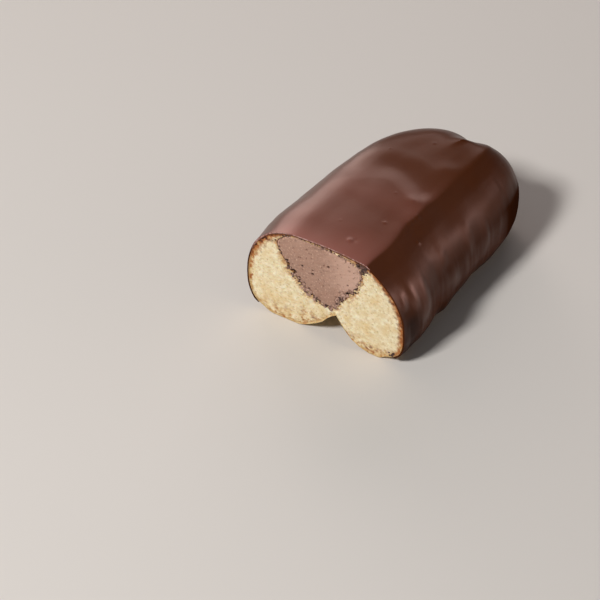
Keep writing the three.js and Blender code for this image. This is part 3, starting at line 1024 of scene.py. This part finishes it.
# Hollows in the crumbly seam beside the cream, sunk and painted dark as shade: y, z, radius, depth.
HOLLOWS = [
    (14.2, 25.6, 0.5, 1.0), (13.6, 24.4, 0.55, 1.2), (13.0, 23.3, 0.5, 1.0), (11.0, 22.2, 0.5, 0.9),
    (11.6, 21.4, 0.5, 1.0), (9.4, 20.2, 0.5, 0.9), (9.9, 19.2, 0.55, 1.1), (8.6, 18.2, 0.5, 0.9),
    (7.4, 17.0, 0.55, 1.1), (6.2, 16.1, 0.45, 0.8), (4.0, 15.2, 0.4, 0.6), (16.9, 30.3, 0.4, 0.6),
    (16.2, 28.4, 0.35, 0.6), (-8.2, 21.7, 0.65, 1.3), (-7.4, 20.6, 0.6, 1.2), (-6.4, 19.5, 0.6, 1.2),
    (-5.3, 18.3, 0.5, 1.0), (-4.5, 16.9, 0.5, 0.9), (-3.8, 14.9, 0.4, 0.8), (-9.9, 23.4, 0.4, 0.7),
]
PIT_STEEPNESS = 1.3
# Pits and hollows are painted dark as shade, wholly so at this depth.
FULL_SHADE_DEPTH = 0.5  # a hollow of this depth is wholly dark
CREAM_SINK = 0.22
CRUMBLY_WIDTH = 2.3
PALE_MOST = 0.75
PALE_RIGHT = (4, -14)  # where the cream grows paler, of y
PALE_UP = (18, 8)  # and of z

# Noise of the cream, in layers: size, strength and seed.
CREAM_RAGS = [(1.2, 1.0, 12.0), (0.5, 0.6, 14.0)]
CREAM_LUMPS = [(1.0, 1.0, 3.5), (0.5, 0.6, 5.5)]
CREAM_SMEAR = [((2.2, 2.2 / 0.35, 2.2 / 1.2), 0.08, 3.0), (0.7, 0.04, 4.0)]


def cream():
    """The wedge of cream: a smeared face with pits and crumbly edges, and its hidden length."""
    outline = cream_outline(CREAM_STEPS)
    count = len(outline)
    rough = seam_roughness(outline)
    rel = outline - CREAM_CENTRE
    reach = np.linalg.norm(rel, axis=1)
    ragged = 0.4 * rough * layers(flat_points(outline), CREAM_RAGS) - 0.1
    outline = CREAM_CENTRE + rel * (1 + ragged / reach)[:, None]
    ring = np.linspace(0, 1, CREAM_RINGS + 1)[1:, None, None]
    face = flat_points(mix(CREAM_CENTRE, outline[None], ring).reshape(-1, 2))
    points = np.vstack([[[0, *CREAM_CENTRE]], face])
    index = 1 + np.arange(len(face)).reshape(CREAM_RINGS, count)
    faces = grid_faces(closed(index))
    first = closed(index[:1])[0]
    faces += [[0, int(a), int(b)] for a, b in zip(first, first[1:])]

    # The first point is the middle one, far from the edge.
    to_edge = np.r_[99, ((1 - ring[:, :, 0]) * reach).ravel()]
    rough = np.r_[0, np.tile(rough, CREAM_RINGS)]
    hollow = np.zeros(len(points))
    for y, z, radius, depth in PITS + HOLLOWS:
        away = ((points[:, 1] - y) ** 2 + (points[:, 2] - z) ** 2) / radius**2
        hollow += depth * np.exp(-PIT_STEEPNESS * away)
    crumbly = rough * band(to_edge, CRUMBLY_WIDTH, 1.15)
    lumps = layers(points, CREAM_LUMPS)
    sink = CREAM_SINK + layers(points, CREAM_SMEAR) + hollow
    sink += crumbly * (0.1 + 0.55 * lumps) + 0.25 * band(to_edge, 0.4)
    points[:, 0] = np.maximum(sink, CLEARANCE)
    # Painted shade: dark in the pits and hollows, and where crumbly lumps sink deepest.
    dark = np.maximum(np.clip(hollow / FULL_SHADE_DEPTH, 0, 1), crumbly * rise(lumps, 0.15, 0.5))

    points = sweep_inwards(points, faces, outline, index[-1], (1.6, 4, 12, 30, 50, CREAM_LENGTH))
    dark = np.r_[dark, np.zeros(len(points) - len(dark))]
    pale = PALE_MOST * rise(points[:, 1], *PALE_RIGHT) * rise(points[:, 2], *PALE_UP)
    pale += STREAK_TONE * noise_at(points @ STREAK_AXES, 1.0, 19.0)
    return points, faces, {"painted_pit_shade": dark, "pale": np.clip(pale, 0, 1)}


# ---------------- crumbs

# Stretches of the cream's outline, as shares of its length from the tip round the right side.
RIGHT_LOW = (0.0, 0.17)
RIGHT_HIGH = (0.15, 0.32)
TOP_BAND = (0.32, 0.66)
LEFT_HIGH = (0.66, 0.78)
LEFT_LOW = (0.76, 0.99)
# The kinds of crumbs: name, slot, two tones, seams and patches. A seam has a count, a stretch, the
# nearest and farthest place measured out from the cream's edge, and sizes. A patch has a count, a
# centre, a spread and sizes.
CRUMB_KINDS = [
    ("dark_crumbs", "chocolate", ((62, 42, 36), (120, 88, 78)), [
        (70, TOP_BAND, (0.4, 1.5), (0.12, 0.3)),
        (90, LEFT_LOW, (-0.4, 1.3), (0.14, 0.4)),
        (16, LEFT_HIGH, (-0.2, 0.4), (0.12, 0.25)),
        (60, RIGHT_LOW, (-0.7, 0.9), (0.14, 0.4)),
        (16, RIGHT_HIGH, (-0.6, 0.5), (0.1, 0.25)),
    ], [
        (44, (-13.4, 35.2), (0.8, 1.1), (0.2, 0.5)),
        (9, (-24.8, 3.4), (0.6, 0.4), (0.2, 0.42)),
    ]),
    ("gold_crumbs", "sponge", ((226, 200, 156), (190, 154, 114)), [
        (10, TOP_BAND, (0.0, 0.8), (0.1, 0.24)),
        (26, LEFT_LOW, (0.1, 1.0), (0.14, 0.34)),
        (14, RIGHT_LOW, (0.1, 0.8), (0.14, 0.3)),
        (40, RIGHT_HIGH, (-0.6, 1.0), (0.12, 0.36)),
    ], [
        (10, (-12.6, 33.6), (0.6, 0.9), (0.15, 0.3)),
    ]),
    ("cream_crumbs", "cream", ((142, 108, 94), (192, 156, 140)), [
        (110, LEFT_LOW, (-0.9, 1.2), (0.18, 0.5)),
        (70, RIGHT_LOW, (-1.3, 0.6), (0.16, 0.5)),
        (60, RIGHT_HIGH, (-0.9, 0.5), (0.14, 0.36)),
        (60, TOP_BAND, (0.0, 1.1), (0.14, 0.3)),
    ], []),
]
CRUMB_CEILING = HEIGHT - 2.6
CRUMB_SEED = 7


def crumb_shape():
    """Points and faces of a unit ball of eighty triangles."""
    work = bmesh.new()
    bmesh.ops.create_icosphere(work, subdivisions=2, radius=1)
    points = np.array([v.co for v in work.verts])
    faces = np.array([[v.index for v in f.verts] for f in work.faces])
    work.free()
    return points, faces


def crumb_mesh(places, draw):
    """One mesh of irregular crumbs at [(x, y, z, size)], in millimetres."""
    ball, ball_faces = crumb_shape()
    points, faces = [], []
    for x, y, z, size in places:
        stretch = np.array([draw.uniform(0.6, 1.0), draw.uniform(0.7, 1.4), draw.uniform(0.7, 1.4)])
        dent = 1 + 0.55 * noise_at(ball, 0.7, draw.uniform(0, 50))
        crumb = ball * dent[:, None] * stretch * size + [x, y, z]
        crumb[:, 0] = np.maximum(crumb[:, 0], CLEARANCE)
        faces += (ball_faces + len(points) * len(ball)).tolist()
        points.append(crumb)
    return np.vstack(points), faces


def seam_places(draw, count, span, reach, sizes):
    """Places of clustered crumbs along a stretch of the cream's edge."""
    outline = cream_outline(720)
    places = []
    while len(places) < count:
        share = draw.uniform(*span) % 1
        cluster = noise.noise(Vector((share * 60, count * 0.37, 0.5)))
        if draw.random() > smooth(0.5 + 1.6 * cluster):
            continue
        edge = outline[int(share * len(outline)) % len(outline)]
        away = (edge - CREAM_CENTRE) / np.linalg.norm(edge - CREAM_CENTRE)
        y, z = edge + away * draw.uniform(*reach)
        places.append((draw.uniform(0.25, 0.6), y, z, draw.uniform(*sizes)))
    return places


def patch_places(draw, count, centre, spread, sizes):
    """Places of crumbs gathered round a point [y, z] of the cut face."""
    places = []
    for _ in range(count):
        y, z = centre[0] + draw.gauss(0, spread[0]), centre[1] + draw.gauss(0, spread[1])
        z = min(z, CRUMB_CEILING)
        places.append((draw.uniform(0.15, 0.55), y, z, draw.uniform(*sizes)))
    return places


def build_crumbs():
    """The loose crumbs. One draw serves all kinds: first for their places, then for their shapes."""
    draw = random.Random(CRUMB_SEED)
    found = []
    for *_, seams, patches in CRUMB_KINDS:
        places = [seam_places(draw, *seam) for seam in seams]
        places += [patch_places(draw, *patch) for patch in patches]
        found.append(sum(places, []))
    for (name, slot, tones, *_), places in zip(CRUMB_KINDS, found):
        points, faces = crumb_mesh(places, draw)
        first, second = (srgb(*tone) for tone in tones)
        make_piece(name, points, faces, crumb_material(name, first, second))


def build_bun():
    parts = (
        ("coating", coating, chocolate_material, "chocolate", "chocolate_coating"),
        ("sponge_crumb", sponge, sponge_material, "sponge", "sponge"),
        ("cream_wedge", cream, cream_material, "cream", "cream_filling"),
    )
    for name, shape, make_material, slot, node in parts:
        points, faces, looks = shape()
        make_piece(name, points, faces, make_material(), replaces=node, looks=looks)
    build_crumbs()


# ---------------- floor, light and camera

# The camera looks down at the cut face. The azimuth is that of the view's direction in the
# row frame, from +Y towards +X. The target is in millimetres in the cut's frame.
CAMERA_ELEVATION = math.radians(44)
CAMERA_AZIMUTH = math.radians(59.105)
CAMERA_DISTANCE = 0.78263
CAMERA_TARGET = np.array([8.681, 14.258, 1.2])
LENS = 144
SENSOR = 36

# Area lights: name; place as the camera sees it, right, back and up, and width and height, in
# metres; power in watts; colour.
LIGHTS = [
    ("key", (-0.63, -0.5, 0.88), (0.22, 0.22), 11, (1.0, 0.98, 0.95)),
    ("sheen", (-0.44, 1.05, 0.33), (0.5, 0.56), 2.4, (1.0, 0.86, 0.8)),
    ("glow", (0.0, 1.05, 0.56), (0.95, 0.5), 2.8, (1.0, 0.84, 0.79)),
    ("side", (1.05, 0.0, 0.14), (0.6, 0.26), 1.4, (1.0, 0.82, 0.78)),
]
LIGHT_TARGET = Vector((0, 0, 0.02))
WORLD_STRENGTH = 0.1
FLOOR_SIZE = 6


def build_stage():
    bpy.ops.mesh.primitive_plane_add(size=FLOOR_SIZE)
    floor = bpy.context.object
    floor.name = "floor"
    material, _, shader = new_material("floor")
    shader.inputs["Base Color"].default_value = (*srgb(220, 216, 212), 1)
    shader.inputs["Roughness"].default_value = 0.9
    floor.data.materials.append(material)


def build_camera():
    data = bpy.data.cameras.new("camera")
    data.lens = LENS
    data.sensor_width = SENSOR
    camera = bpy.data.objects.new("camera", data)
    flat = math.cos(CAMERA_ELEVATION)
    east, north = math.sin(CAMERA_AZIMUTH) * flat, math.cos(CAMERA_AZIMUTH) * flat
    back = Vector((-east, -north, math.sin(CAMERA_ELEVATION)))
    camera.location = Vector((CAMERA_TARGET + CUT_TO_ROW) * 0.001) + back * CAMERA_DISTANCE
    camera.rotation_euler = (-back).to_track_quat("-Z", "Y").to_euler()
    bpy.context.scene.collection.objects.link(camera)
    bpy.context.scene.camera = camera


def from_view(right, back, up):
    """A place in metres in the row frame, given as the camera sees it."""
    sine, cosine = math.sin(CAMERA_AZIMUTH), math.cos(CAMERA_AZIMUTH)
    return Vector((right * cosine + back * sine, -right * sine + back * cosine, up))


def build_light():
    world = bpy.data.worlds.new("studio")
    world.use_nodes = True
    background = world.node_tree.nodes["Background"]
    background.inputs["Color"].default_value = (1.0, 1.0, 1.0, 1)
    background.inputs["Strength"].default_value = WORLD_STRENGTH
    bpy.context.scene.world = world
    for name, place, size, power, colour in LIGHTS:
        light = bpy.data.lights.new(name, "AREA")
        light.shape = "RECTANGLE"
        light.size, light.size_y = size
        light.energy = power
        light.color = colour
        lamp = bpy.data.objects.new(name, light)
        lamp.location = from_view(*place)
        towards = LIGHT_TARGET - lamp.location
        lamp.rotation_euler = towards.to_track_quat("-Z", "Y").to_euler()
        bpy.context.scene.collection.objects.link(lamp)
    bpy.context.scene.view_settings.view_transform = "Standard"


build_bun()
build_stage()
build_camera()
build_light()
